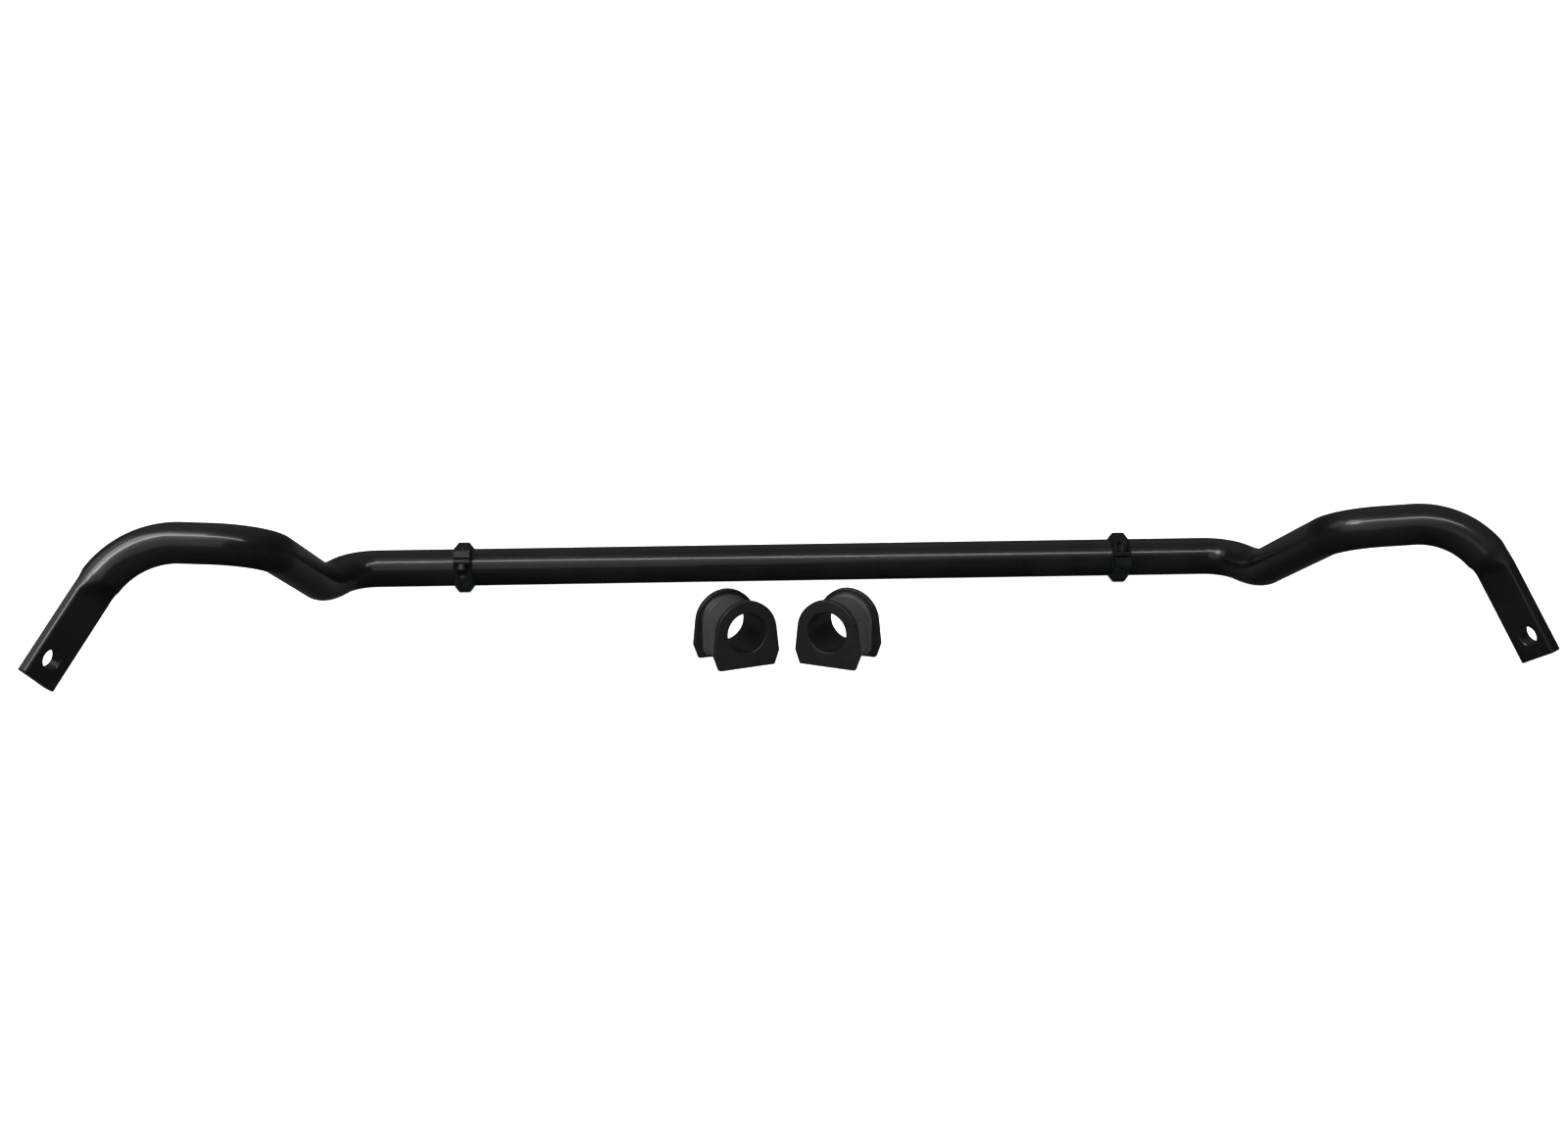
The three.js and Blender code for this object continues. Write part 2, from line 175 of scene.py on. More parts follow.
# Softboxes that face the middle of the bar: degrees round it from the front (left is negative),
# degrees above it, metres away, width and height in metres, and brightness.
SOFTBOXES = {
    "strip_light": (-8, 49, 1.7, (2.2, 0.1), 16),
    "front_softbox": (-32, 28, 3.0, (4.4, 3.0), 0.62),
    "left_key": (-54, 46, 2.2, (0.9, 0.8), 6),
    "left_softbox": (-89, 36, 2.2, (0.9, 1.2), 0.8),
}
OVERHEAD_STRENGTH = 1.6
OVERHEAD_SPREAD = math.radians(80)
OVERHEAD_TILT = math.radians(25)
STAGE_GREY = (0.9, 0.9, 0.9)
STAGE_GLOW = 0.95
STAGE_ROUGHNESS = 0.9

# The camera in metres from the middle of the bar, its yaw, pitch and roll, and its lens.
CAMERA_PLACE = (-0.08298, -1.68571, 0.43612)
CAMERA_ANGLES = tuple(math.radians(angle) for angle in (2.559, -14.441, -0.251))
CAMERA_LENS = 49.01
CAMERA_SENSOR = 36


# ------------------------------------------------------------------ mesh helpers

def finish_mesh(name, mesh, material, body, node):
    """Puts a mesh, already in the row frame, on its body in place of its CAD node."""
    piece = bpy.data.objects.new(name, mesh)
    bpy.context.scene.collection.objects.link(piece)
    mesh.materials.clear()
    mesh.materials.append(material)
    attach(piece, body)
    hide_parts(node)


def mesh_from(name, vertices, faces):
    mesh = bpy.data.meshes.new(name)
    mesh.from_pydata([tuple(v) for v in vertices], [], faces)
    work = bmesh.new()
    work.from_mesh(mesh)
    bmesh.ops.recalc_face_normals(work, faces=work.faces)
    work.to_mesh(mesh)
    work.free()
    return mesh


def tube_faces(ring_count, sides, endless=False):
    """Quads between consecutive rings of equal size, and caps unless the last meets the first."""
    faces = []
    for i in range(ring_count if endless else ring_count - 1):
        here = i * sides
        there = ((i + 1) % ring_count) * sides
        for k in range(sides):
            n = (k + 1) % sides
            faces.append((here + k, here + n, there + n, there + k))
    if not endless:
        last = (ring_count - 1) * sides
        faces += [tuple(range(sides)), tuple(range(last, last + sides))]
    return faces


def lathe(profile, sides, axis="Z", endless=False):
    """Solid of revolution about an axis from (radius, height) points, capped or a closed ring."""
    vertices = []
    for radius, height in profile:
        for k in range(sides):
            angle = FULL_TURN * k / sides
            vertices.append((radius * math.cos(angle), radius * math.sin(angle), height))
    if axis == "X":
        vertices = [(z, x, y) for x, y, z in vertices]
    return vertices, tube_faces(len(profile), sides, endless)


def combined(base, *operations):
    """A mesh after exact booleans; each operation is (kind, vertices, faces)."""
    target = bpy.data.objects.new("work", mesh_from("work", *base))
    bpy.context.scene.collection.objects.link(target)
    for kind, vertices, faces in operations:
        tool = bpy.data.objects.new("tool", mesh_from("tool", vertices, faces))
        bpy.context.scene.collection.objects.link(tool)
        modifier = target.modifiers.new("join", "BOOLEAN")
        modifier.operation = kind
        modifier.solver = "EXACT"
        modifier.object = tool
        result = evaluated_mesh(target)
        target.modifiers.clear()
        target.data = result
        bpy.data.objects.remove(tool)
    mesh = target.data
    bpy.data.objects.remove(target)
    return mesh


def evaluated_mesh(obj):
    bpy.context.view_layer.update()
    graph = bpy.context.evaluated_depsgraph_get()
    return bpy.data.meshes.new_from_object(obj.evaluated_get(graph), depsgraph=graph)


def with_modifiers(mesh, *settings):
    """A mesh after a list of (type, {property: value}) modifiers."""
    holder = bpy.data.objects.new("work", mesh)
    bpy.context.scene.collection.objects.link(holder)
    for kind, values in settings:
        modifier = holder.modifiers.new(kind.lower(), kind)
        for key, value in values.items():
            setattr(modifier, key, value)
    result = evaluated_mesh(holder)
    bpy.data.objects.remove(holder)
    return result


def smooth(mesh, angle=math.radians(35)):
    mesh.shade_smooth()
    mesh.set_sharp_from_angle(angle=angle)


def with_flat_faces_kept(mesh):
    """A mesh whose broad faces shade flat right up to their rounded edges."""
    return with_modifiers(mesh, ("WEIGHTED_NORMAL", {"keep_sharp": True, "weight": 60}))


def box_mesh(low, high):
    (x0, y0, z0), (x1, y1, z1) = low, high
    vertices = [(x, y, z) for z in (z0, z1) for y in (y0, y1) for x in (x0, x1)]
    faces = [(0, 2, 3, 1), (4, 5, 7, 6), (0, 1, 5, 4), (2, 6, 7, 3), (0, 4, 6, 2), (1, 3, 7, 5)]
    return vertices, faces


def prism(outline, low, high):
    """An outline of (y, z) points run along X from low to high."""
    count = len(outline)
    vertices = [(x, y, z) for x in (low, high) for y, z in outline]
    return vertices, tube_faces(2, count)


# ------------------------------------------------------------------ bar

def unit(v):
    return v / np.linalg.norm(v)


def mirrored(point, side):
    return np.array([point[0] * side, point[1], point[2]], float)


def bar_stations():
    """Points and tangents along the bent centreline, close together where it turns."""
    def arm(side, shoulder, tip):
        return [mirrored(p, side) for p in (KNEE, DIP, CREST, shoulder, tip)]

    corners = arm(**ARMS["left"])[::-1] + arm(**ARMS["right"])
    radii = BEND_RADII[::-1] + BEND_RADII
    points, tangents = [corners[0]], [unit(corners[1] - corners[0])]
    for i in range(1, len(corners) - 1):
        arriving = unit(corners[i] - corners[i - 1])
        leaving = unit(corners[i + 1] - corners[i])
        turn = math.acos(np.clip(arriving @ leaving, -1, 1))
        radius = radii[i - 1]
        start = corners[i] - arriving * radius * math.tan(turn / 2)
        inward = unit(leaving - (leaving @ arriving) * arriving)
        centre = start + inward * radius
        steps = math.ceil(turn / BEND_STEP)
        for k in range(steps + 1):
            angle = turn * k / steps
            points.append(centre + radius * (arriving * math.sin(angle) - inward * math.cos(angle)))
            tangents.append(arriving * math.cos(angle) + inward * math.sin(angle))
    points.append(corners[-1])
    tangents.append(unit(corners[-1] - corners[-2]))
    return np.array(points), np.array(tangents)


def distances_along(points):
    steps = np.linalg.norm(np.diff(points, axis=0), axis=1)
    return np.concatenate([[0], np.cumsum(steps)])


def resampled(points, tangents, at):
    """Stations at the given distances: exact in the straights, close to exact in the bends."""
    run = distances_along(points)
    new_points = np.stack([np.interp(at, run, points[:, i]) for i in range(3)], 1)
    new_tangents = np.stack([np.interp(at, run, tangents[:, i]) for i in range(3)], 1)
    return new_points, new_tangents / np.linalg.norm(new_tangents, axis=1)[:, None]


def paddle_frame(along):
    """Width and flat-normal directions of the paddle whose length runs along a direction."""
    twist = TWISTS["left" if along[0] < 0 else "right"]
    face = np.array([np.sign(along[0]), 0, 0])
    face = unit(face - (face @ along) * along)
    width = np.cross(along, face)
    if width[2] < 0:
        width = -width
    normal = math.cos(twist) * face + math.sin(twist) * width
    width = math.cos(twist) * width - math.sin(twist) * face
    return width, normal


def paddle_outline(count, inset=0.0):
    """Points of the rounded-rectangle section, matched one to one with points round the bar."""
    quadrant = count // 4
    side_steps, edge_steps = quadrant // 8, quadrant // 2
    straight_x = PADDLE_WIDTH / 2 - PADDLE_EDGE
    straight_y = PADDLE_THICKNESS / 2 - PADDLE_EDGE
    edge = PADDLE_EDGE - inset
    first = []
    for k in range(quadrant + 1):
        if k <= side_steps:
            first.append((straight_x + edge, straight_y * k / side_steps))
        elif k <= side_steps + edge_steps:
            angle = math.pi / 2 * (k - side_steps) / edge_steps
            first.append((straight_x + edge * math.cos(angle), straight_y + edge * math.sin(angle)))
        else:
            rest = (k - side_steps - edge_steps) / (quadrant - side_steps - edge_steps)
            first.append((straight_x * (1 - rest), straight_y + edge))
    second = [(-x, y) for x, y in first[::-1]][1:]
    upper = first + second
    lower = [(-x, -y) for x, y in upper][1:-1]
    return np.array(upper + lower)


def round_outline(count):
    angles = FULL_TURN * np.arange(count) / count
    return BAR_RADIUS * np.stack([np.cos(angles), np.sin(angles)], 1)


def smoothstep(x, low, high):
    t = min(max((x - low) / (high - low), 0), 1)
    return t * t * (3 - 2 * t)


def ring_frames(points, tangents):
    """Width and normal directions of every ring, lined up with the paddle at each end."""
    start_width, _ = paddle_frame(-tangents[0])
    end_width, _ = paddle_frame(tangents[-1])
    widths = [unit(start_width - (start_width @ tangents[0]) * tangents[0])]
    for i in range(1, len(points)):
        axis = np.cross(tangents[i - 1], tangents[i])
        turn = math.asin(min(1, np.linalg.norm(axis)))
        width = widths[-1]
        if turn > TINY:
            width = np.array(Matrix.Rotation(turn, 3, Vector(axis)) @ Vector(width))
        widths.append(unit(width - (width @ tangents[i]) * tangents[i]))
    last = widths[-1]
    leftover = math.atan2(np.cross(last, end_width) @ tangents[-1], last @ end_width)
    run = distances_along(points)
    middle = (run > FORGE_LENGTH) & (run < run[-1] - FORGE_LENGTH)
    first, final = run[middle][0], run[middle][-1]
    frames = []
    for width, tangent, distance in zip(widths, tangents, run):
        share = min(max((distance - first) / (final - first), 0), 1)
        turned = np.array(Matrix.Rotation(leftover * share, 3, Vector(tangent)) @ Vector(width))
        frames.append((turned, np.cross(tangent, turned)))
    return frames


def bar_distances(total, bend_run):
    """Where rings go: close together at the ends and in the forged zones, and through every bend."""
    rounding = [END_ROUNDING * (1 - math.cos(math.pi / 2 * k / ROUNDING_STEPS))
                for k in range(ROUNDING_STEPS + 1)]
    forge = list(np.linspace(FLAT_LENGTH - 2, FORGE_LENGTH + 1, FORGE_RINGS))
    flat = list(np.linspace(8, FLAT_LENGTH - 6, FLAT_RINGS))
    near = rounding + flat + forge
    first, final = FORGE_LENGTH + RING_SPARE, total - FORGE_LENGTH - RING_SPARE
    inner = [distance for distance in bend_run if first < distance < final]
    return np.array(sorted(near + inner + [total - distance for distance in near]))


def link_hole_cutter(tip, along, width, normal):
    """Cutter for the drop-link hole, flared at both faces for the chamfers."""
    half = PADDLE_THICKNESS / 2
    wide = HOLE_RADIUS + HOLE_CHAMFER + CUTTER_SPARE
    deep = half - HOLE_CHAMFER
    profile = [(wide, -half - CUTTER_SPARE), (HOLE_RADIUS, -deep), (HOLE_RADIUS, deep),
               (wide, half + CUTTER_SPARE)]
    vertices, faces = lathe(profile, HOLE_SIDES)
    centre = tip - along * HOLE_FROM_TIP + width * HOLE_OFFSET
    placed = [centre + v[0] * along + v[1] * width + v[2] * normal for v in vertices]
    return placed, faces


def build_bar(middle, material):
    points, tangents = bar_stations()
    run = distances_along(points)
    at = bar_distances(run[-1], run)
    points, tangents = resampled(points, tangents, at)
    frames = ring_frames(points, tangents)
    round_section = round_outline(BAR_SIDES)
    flat_section = paddle_outline(BAR_SIDES)
    total = at[-1]
    vertices = []
    for point, (width, normal), distance in zip(points, frames, at):
        from_end = min(distance, total - distance)
        section = flat_section
        if from_end < END_ROUNDING:
            depth = END_ROUNDING - from_end
            inset = END_ROUNDING - math.sqrt(max(END_ROUNDING**2 - depth**2, 0))
            section = paddle_outline(BAR_SIDES, inset)
        pressed = smoothstep(FORGE_LENGTH - from_end, 0, FORGE_LENGTH - FLAT_LENGTH)
        spread = smoothstep(SHOULDER_LENGTH - from_end, 0, SHOULDER_LENGTH - FLAT_LENGTH)
        shares = np.array([spread, pressed])
        mixed = round_section * (1 - shares) + section * shares
        vertices.extend(point + a * width + b * normal for a, b in mixed)
    cutters = []
    for tip, along in ((points[0], -tangents[0]), (points[-1], tangents[-1])):
        width, normal = paddle_frame(along)
        cutters.append(("DIFFERENCE", *link_hole_cutter(tip, along, width, normal)))
    mesh = combined((vertices, tube_faces(len(points), BAR_SIDES)), *cutters)
    mesh.transform(Matrix.Translation(middle) @ Matrix.Scale(MM, 4))
    smooth(mesh)
    mesh = with_flat_faces_kept(mesh)
    mesh.name = "forged_bar"
    finish_mesh("forged_bar", mesh, material, "sway_bar", "sway_bar")


# ------------------------------------------------------------------ locks

def lock_ear(side, height, slope):
    """Ear of a lock half, on the +Y or -Y side, with its outer corner cut at a slope."""
    top = LOCK_SPLIT / 2 + height
    root = LOCK_BORE - LOCK_OVERLAP
    outline = [(root, -LOCK_OVERLAP), (EAR_REACH, -LOCK_OVERLAP), (EAR_REACH, top - slope),
               (EAR_REACH - slope, top), (root, top)]
    return prism([(side * y, z) for y, z in outline], -EAR_HALF_WIDTH, EAR_HALF_WIDTH)


def drill(radius, y, low, high, sides):
    vertices, faces = lathe([(radius, low), (radius, high)], sides)
    return [(vx, vy + y, vz) for vx, vy, vz in vertices], faces


def lock_half_mesh():
    """Local frame of a lock: X along the bar, Y across the ears, Z square to the split."""
    shoulder = LOCK_BORE + LOCK_LAND
    inside = LOCK_BORE - 2 * LOCK_OVERLAP
    ring = [(inside, -LOCK_BASE_HALF), (shoulder, -LOCK_BASE_HALF),
            (LOCK_CROWN_RADIUS, -LOCK_CROWN_HALF), (LOCK_CROWN_RADIUS, LOCK_CROWN_HALF),
            (shoulder, LOCK_BASE_HALF), (inside, LOCK_BASE_HALF)]
    bore = [(LOCK_BORE, -LOCK_CUT), (LOCK_BORE, LOCK_CUT)]
    pocket_floor = LOCK_SPLIT / 2 + EAR_FLANGE
    pocket = drill(HEAD_POCKET_RADIUS, -SCREW_OFFSET, pocket_floor, LOCK_CUT, HEAD_POCKET_SIDES)
    holes = [drill(SCREW_RADIUS + FIT_GAP, y, -LOCK_CUT, LOCK_CUT, SCREW_HOLE_SIDES)
             for y in (SCREW_OFFSET, -SCREW_OFFSET)]
    mesh = combined(
        lathe(ring, LOCK_SIDES, axis="X", endless=True),
        ("UNION", *lock_ear(1, EAR_BLOCK, EAR_BLOCK_SLOPE)),
        ("UNION", *lock_ear(-1, EAR_FLANGE, EAR_FLANGE_SLOPE)),
        ("DIFFERENCE", *lathe(bore, LOCK_SIDES, axis="X")),
        ("DIFFERENCE", *pocket),
        ("DIFFERENCE", *holes[0]),
        ("DIFFERENCE", *holes[1]),
        ("INTERSECT", *box_mesh((-LOCK_CUT, -LOCK_CUT, LOCK_SPLIT / 2), (LOCK_CUT, LOCK_CUT, LOCK_CUT))),
    )
    return with_modifiers(mesh, ("BEVEL", {
        "width": LOCK_EDGE, "segments": 2, "limit_method": "ANGLE", "angle_limit": math.radians(28),
        "use_clamp_overlap": False, "harden_normals": False,
    }))


def screw_mesh():
    """Socket-head cap screw, its head up, on the ear at -Y of the half that lies on +Z."""
    sides = SCREW_SIDES
    seat = LOCK_SPLIT / 2 + EAR_FLANGE + FIT_GAP
    tip = seat - SCREW_LENGTH
    head_top = seat + HEAD_HEIGHT
    core = SCREW_RADIUS - THREAD_DEPTH
    angles = FULL_TURN * np.arange(sides) / sides
    hexagon = (HEX_ACROSS_FLATS / 2) / np.cos((angles + math.pi / 6) % (math.pi / 3) - math.pi / 6)
    circle = np.ones(sides)
    knurled = circle - KNURL_DEPTH / HEAD_RADIUS * (np.arange(sides) % 2)
    bevel_top, bevel_bottom = HEX_BEVEL_DEPTHS

    thread_start = tip + SCREW_POINT_LENGTH
    thread_length = SCREW_LENGTH - SCREW_POINT_LENGTH - THREAD_CLEAR_OF_HEAD
    rings = [(circle * (core - SCREW_POINT_DEPTH), tip), (circle * core, thread_start)]
    for k in range(THREAD_STEPS + 1):
        height = thread_start + thread_length * k / THREAD_STEPS
        phase = (height / SCREW_PITCH - angles / FULL_TURN) % 1
        crest = 1 - np.abs(2 * phase - 1)
        from_start = (height - thread_start) / SCREW_PITCH
        to_head = (seat - THREAD_CLEAR_OF_HEAD - height) / SCREW_PITCH
        fade = max(min(1, from_start, to_head), 0)
        rings.append((core + THREAD_DEPTH * fade * crest, height))
    rings += [
        (circle * SCREW_RADIUS * SHANK_SHARE, seat - SHANK_LENGTH),
        (circle * SCREW_RADIUS * SHANK_SHARE, seat),
        (circle * (HEAD_RADIUS - HEAD_SEAT_EDGE), seat),
        (knurled * HEAD_RADIUS, seat + HEAD_SEAT_EDGE),
        (knurled * HEAD_RADIUS, head_top - HEAD_EDGE),
        (circle * (HEAD_RADIUS - HEAD_EDGE), head_top),
        (circle * (HEX_ACROSS_FLATS / 2 + HEX_MOUTH), head_top),
        (hexagon * HEX_BEVEL_SHARE, head_top - bevel_top),
        (hexagon, head_top - bevel_bottom),
        (hexagon, head_top - HEX_DEPTH),
        (hexagon * HEX_FLOOR_SHARE, head_top - HEX_DEPTH - HEX_FLOOR_DEPTH),
    ]
    vertices = []
    for radius, height in rings:
        across = radius * np.sin(angles) - SCREW_OFFSET
        vertices.extend(zip(radius * np.cos(angles), across, np.full(sides, height)))
    return mesh_from("screw", vertices, tube_faces(len(rings), sides))


def lock_frame(label):
    """Matrix from a lock's own frame to the row frame, and the lock's centre."""
    cap_axis = Vector(joints[f"{label}_lock_open"]["axis"]).normalized()
    upper = Vector(joints[f"{label}_upper_screw_turn"]["pos_m"])
    lower = Vector(joints[f"{label}_lower_screw_turn"]["pos_m"])
    along = Vector((1, 0, 0))
    across = cap_axis.cross(along)
    centre = (upper + lower) / 2
    turned = 0 if (upper - centre).dot(across) < 0 else math.pi
    basis = Matrix((along, across, cap_axis)).transposed().to_4x4()
    place = Matrix.Translation(centre) @ basis @ Matrix.Scale(MM, 4)
    return place @ Matrix.Rotation(turned, 4, "Z"), centre


def build_lock(label, half, screw, materials):
    place, _ = lock_frame(label)
    flip = Matrix.Rotation(math.pi, 4, "X")
    for level, turn, half_body in (("upper", Matrix.Identity(4), f"{label}_lock_cap"),
                                   ("lower", flip, f"{label}_lock")):
        shell = half.copy()
        shell.transform(place @ turn)
        smooth(shell, math.radians(30))
        shell = with_flat_faces_kept(shell)
        finish_mesh(f"{label}_{level}_lock_shell", shell, materials["lock_alloy"], half_body,
                    f"{label}_lock_{level}_half")
        bolt = screw.copy()
        bolt.transform(place @ turn)
        smooth(bolt)
        finish_mesh(f"{label}_{level}_cap_screw", bolt, materials["screw_steel"],
                    f"{label}_{level}_screw", f"{label}_lock_{level}_screw")


# ------------------------------------------------------------------ bushes

def rounded_polygon(corners, arc_step=math.radians(6)):
    """Closed outline through (x, z, radius) corners, each rounded by an arc of its radius."""
    outline = []
    count = len(corners)
    for i, (x, z, radius) in enumerate(corners):
        here = np.array([x, z])
        back = np.array(corners[i - 1][:2]) - here
        ahead = np.array(corners[(i + 1) % count][:2]) - here
        back, ahead = unit(back), unit(ahead)
        half = math.acos(np.clip(back @ ahead, -1, 1)) / 2
        if radius == 0 or half > math.pi / 2 - 0.01:
            outline.append(here)
            continue
        centre = here + unit(back + ahead) * radius / math.sin(half)
        start = here + back * radius / math.tan(half) - centre
        end = here + ahead * radius / math.tan(half) - centre
        turn = math.atan2(start[0] * end[1] - start[1] * end[0], start @ end)
        steps = max(2, math.ceil(abs(turn) / arc_step))
        for k in range(steps + 1):
            angle = turn * k / steps
            c, s = math.cos(angle), math.sin(angle)
            turned = np.array([c * start[0] - s * start[1], s * start[0] + c * start[1]])
            outline.append(centre + turned)
    return np.array(outline)


def polar_outline(outline, angles):
    """Distance from the bore's axis to the outline in each direction."""
    found = []
    count = len(outline)
    for angle in angles:
        ray = np.array([math.cos(angle), math.sin(angle)])
        best = 0
        for i in range(count):
            a, b = outline[i], outline[(i + 1) % count]
            edge = b - a
            bottom = ray[0] * -edge[1] + ray[1] * edge[0]
            if abs(bottom) < PARALLEL:
                continue
            t = (a[0] * -edge[1] + a[1] * edge[0]) / bottom
            s = (ray[0] * a[1] - ray[1] * a[0]) / bottom
            if t > 0 and -TINY <= s <= 1 + TINY:
                best = max(best, t)
        found.append(best)
    return np.array(found)


def dome(radius, start=0.0):
    """Corners round the top of a flange or body, from one side's start angle to the other's."""
    angles = [start + (math.pi - 2 * start) * k / DOME_STEPS for k in range(DOME_STEPS + 1)]
    return [(radius * math.cos(a), radius * math.sin(a), 0) for a in angles]


def flange_corners():
    rise = BUSH_AXIS_HEIGHT - FLANGE_WIDEST_HEIGHT
    reach = math.hypot(FLANGE_HALF_WIDTH, rise)
    tangent = math.acos(FLANGE_TOP_RADIUS / reach) - math.atan2(rise, FLANGE_HALF_WIDTH)
    right = [(FLANGE_BASE_HALF, -BUSH_AXIS_HEIGHT, FLANGE_BASE_CORNER),
             (FLANGE_HALF_WIDTH, -rise, FLANGE_WIDEST_CORNER)]
    left = [(-x, z, radius) for x, z, radius in right[::-1]]
    return right + dome(FLANGE_TOP_RADIUS, tangent) + left


def body_corners():
    floor = -BUSH_AXIS_HEIGHT + BODY_CLEARANCE
    right = [(BODY_BASE_HALF, floor, BODY_BASE_CORNER),
             (BODY_RADIUS, BODY_SIDE_START - BUSH_AXIS_HEIGHT, BODY_SIDE_CORNER)]
    left = [(-x, z, radius) for x, z, radius in right[::-1]]
    return right + dome(BODY_RADIUS) + left


def bush_profile(flange, body):
    """Closed (distance along the bore, radius) profile of the wall in one direction.

    From the bore out: chamfer, front face, the flange's two rounded edges, a raised bead where
    the flange meets the body, a fillet, and the same again mirrored for the back flange.
    """
    quarter = [math.pi / 2 * k / EDGE_STEPS for k in range(EDGE_STEPS + 1)]
    step = flange - body
    outer = FLANGE_OUTER_EDGE
    inner = min(FLANGE_INNER_EDGE, 0.2 * step)
    bead = min(BEAD, 0.32 * step)
    nose = BEAD_FRONT_SHARE * bead
    fillet = min(FILLET, 0.3 * step)
    thick = FLANGE_THICKNESS
    collar = body + fillet + bead
    front = [(BORE_CHAMFER, BUSH_BORE_RADIUS), (0, BUSH_BORE_RADIUS + BORE_CHAMFER)]
    front += [(outer * (1 - math.sin(a)), flange - outer * (1 - math.cos(a))) for a in quarter[::-1]]
    front += [(thick - inner * (1 - math.sin(a)), flange - inner * (1 - math.cos(a)))
              for a in quarter]
    front += [(thick + nose * (1 - math.cos(a)), collar + nose * (1 - math.sin(a))) for a in quarter]
    front += [(thick + nose + bead * math.sin(a), body + fillet + bead * math.cos(a))
              for a in quarter]
    front += [(thick + nose + bead + fillet * (1 - math.cos(a)), body + fillet * (1 - math.sin(a)))
              for a in quarter]
    back = [(BUSH_LENGTH - along, radius) for along, radius in front[::-1]]
    return front + back


def build_bush(label, material):
    low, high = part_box(f"{label}_bush")
    half_slit = SLIT_WIDTH / 2
    slit = SLIT_ANGLES[label]
    slit_way = np.array([math.cos(slit), math.sin(slit)])
    slit_side = np.array([-slit_way[1], slit_way[0]])
    start = slit + math.asin(half_slit / BUSH_BORE_RADIUS)
    angles = np.linspace(start, 2 * slit + FULL_TURN - start, BUSH_DIRECTIONS)
    flange = polar_outline(rounded_polygon(flange_corners()), angles)
    body = polar_outline(rounded_polygon(body_corners()), angles)
    profiles = [bush_profile(*radii) for radii in zip(flange, body)]
    vertices, painted_sheen = [], []
    for i, (angle, profile) in enumerate(zip(angles, profiles)):
        for along, radius in profile:
            from_middle = along - BUSH_LENGTH / 2
            # Points on the body between the flanges carry a painted sheen: a lighter colour that stands
            # in for light reflected there.
            on_body = radius > BUSH_BORE_RADIUS + 1 and abs(from_middle) < PAINTED_SHEEN_REACH
            painted_sheen.append(1.0 if on_body else 0.0)
            x, z = radius * math.cos(angle), radius * math.sin(angle)
            if i in (0, len(angles) - 1):
                lip = half_slit if i == 0 else -half_slit
                x, z = slit_way * math.sqrt(radius**2 - half_slit**2) + slit_side * lip
            vertices.append((x, from_middle, z + BUSH_AXIS_HEIGHT))
    name = f"{label}_moulded_bush"
    mesh = mesh_from(name, vertices, tube_faces(len(angles), len(profiles[0])))
    mesh.attributes.new("painted_sheen", "FLOAT", "POINT").data.foreach_set("value", painted_sheen)
    centre = Vector(((low.x + high.x) / 2, (low.y + high.y) / 2, low.z))
    turned = Matrix.Rotation(BUSH_TURNS[label], 4, "Z")
    mesh.transform(Matrix.Translation(centre) @ turned @ Matrix.Scale(MM, 4))
    smooth(mesh, math.radians(32))
    finish_mesh(name, mesh, material, f"{label}_bush", f"{label}_bush")


# ------------------------------------------------------------------ materials

class Finish:
    """A small builder for a node material in the row frame's metres."""

    def __init__(self, name):
        self.material = bpy.data.materials.new(name)
        self.material.use_nodes = True
        self.nodes = self.material.node_tree.nodes
        self.links = self.material.node_tree.links
        self.shader = self.nodes["Principled BSDF"]
        self.place = self.nodes.new("ShaderNodeTexCoord").outputs["Object"]

    def set(self, **values):
        for name, value in values.items():
            self.shader.inputs[name.replace("_", " ")].default_value = value

    def noise(self, size, detail=2.0, roughness=0.5, stretch=(1, 1, 1)):
        """Noise whose grains are about `size` metres across."""
        mapping = self.nodes.new("ShaderNodeMapping")
        mapping.inputs["Scale"].default_value = stretch
        self.links.new(self.place, mapping.inputs["Vector"])
        node = self.nodes.new("ShaderNodeTexNoise")
        node.inputs["Scale"].default_value = 1 / size
        node.inputs["Detail"].default_value = detail
        node.inputs["Roughness"].default_value = roughness
        self.links.new(mapping.outputs["Vector"], node.inputs["Vector"])
        return node.outputs["Fac"]

    def spread(self, factor, low, high, from_low=0.3, from_high=0.7):
        node = self.nodes.new("ShaderNodeMapRange")
        node.inputs["From Min"].default_value = from_low
        node.inputs["From Max"].default_value = from_high
        node.inputs["To Min"].default_value = low
        node.inputs["To Max"].default_value = high
        self.links.new(factor, node.inputs["Value"])
        return node.outputs["Result"]

    def blend(self, factor, first, second):
        node = self.nodes.new("ShaderNodeMix")
        node.data_type = "RGBA"
        node.inputs["A"].default_value = (*first, 1)
        node.inputs["B"].default_value = (*second, 1)
        self.links.new(factor, node.inputs["Factor"])
        return node.outputs["Result"]

    def mix(self, factor, first, second):
        """From the colour of one output to a plain colour."""
        blended = self.blend(factor, second, second)
        self.links.new(first, blended.node.inputs["A"])
        return blended

    def add(self, first, second, share):
        node = self.nodes.new("ShaderNodeMath")
        node.operation = "MULTIPLY_ADD"
        node.inputs[1].default_value = share
        self.links.new(second, node.inputs[0])
        self.links.new(first, node.inputs[2])
        return node.outputs["Value"]

    def colour(self, output):
        self.links.new(output, self.shader.inputs["Base Color"])

    def rough(self, output):
        self.links.new(output, self.shader.inputs["Roughness"])

    def bump(self, height, distance, strength=1.0):
        node = self.nodes.new("ShaderNodeBump")
        node.inputs["Distance"].default_value = distance
        node.inputs["Strength"].default_value = strength
        self.links.new(height, node.inputs["Height"])
        self.links.new(node.outputs["Normal"], self.shader.inputs["Normal"])


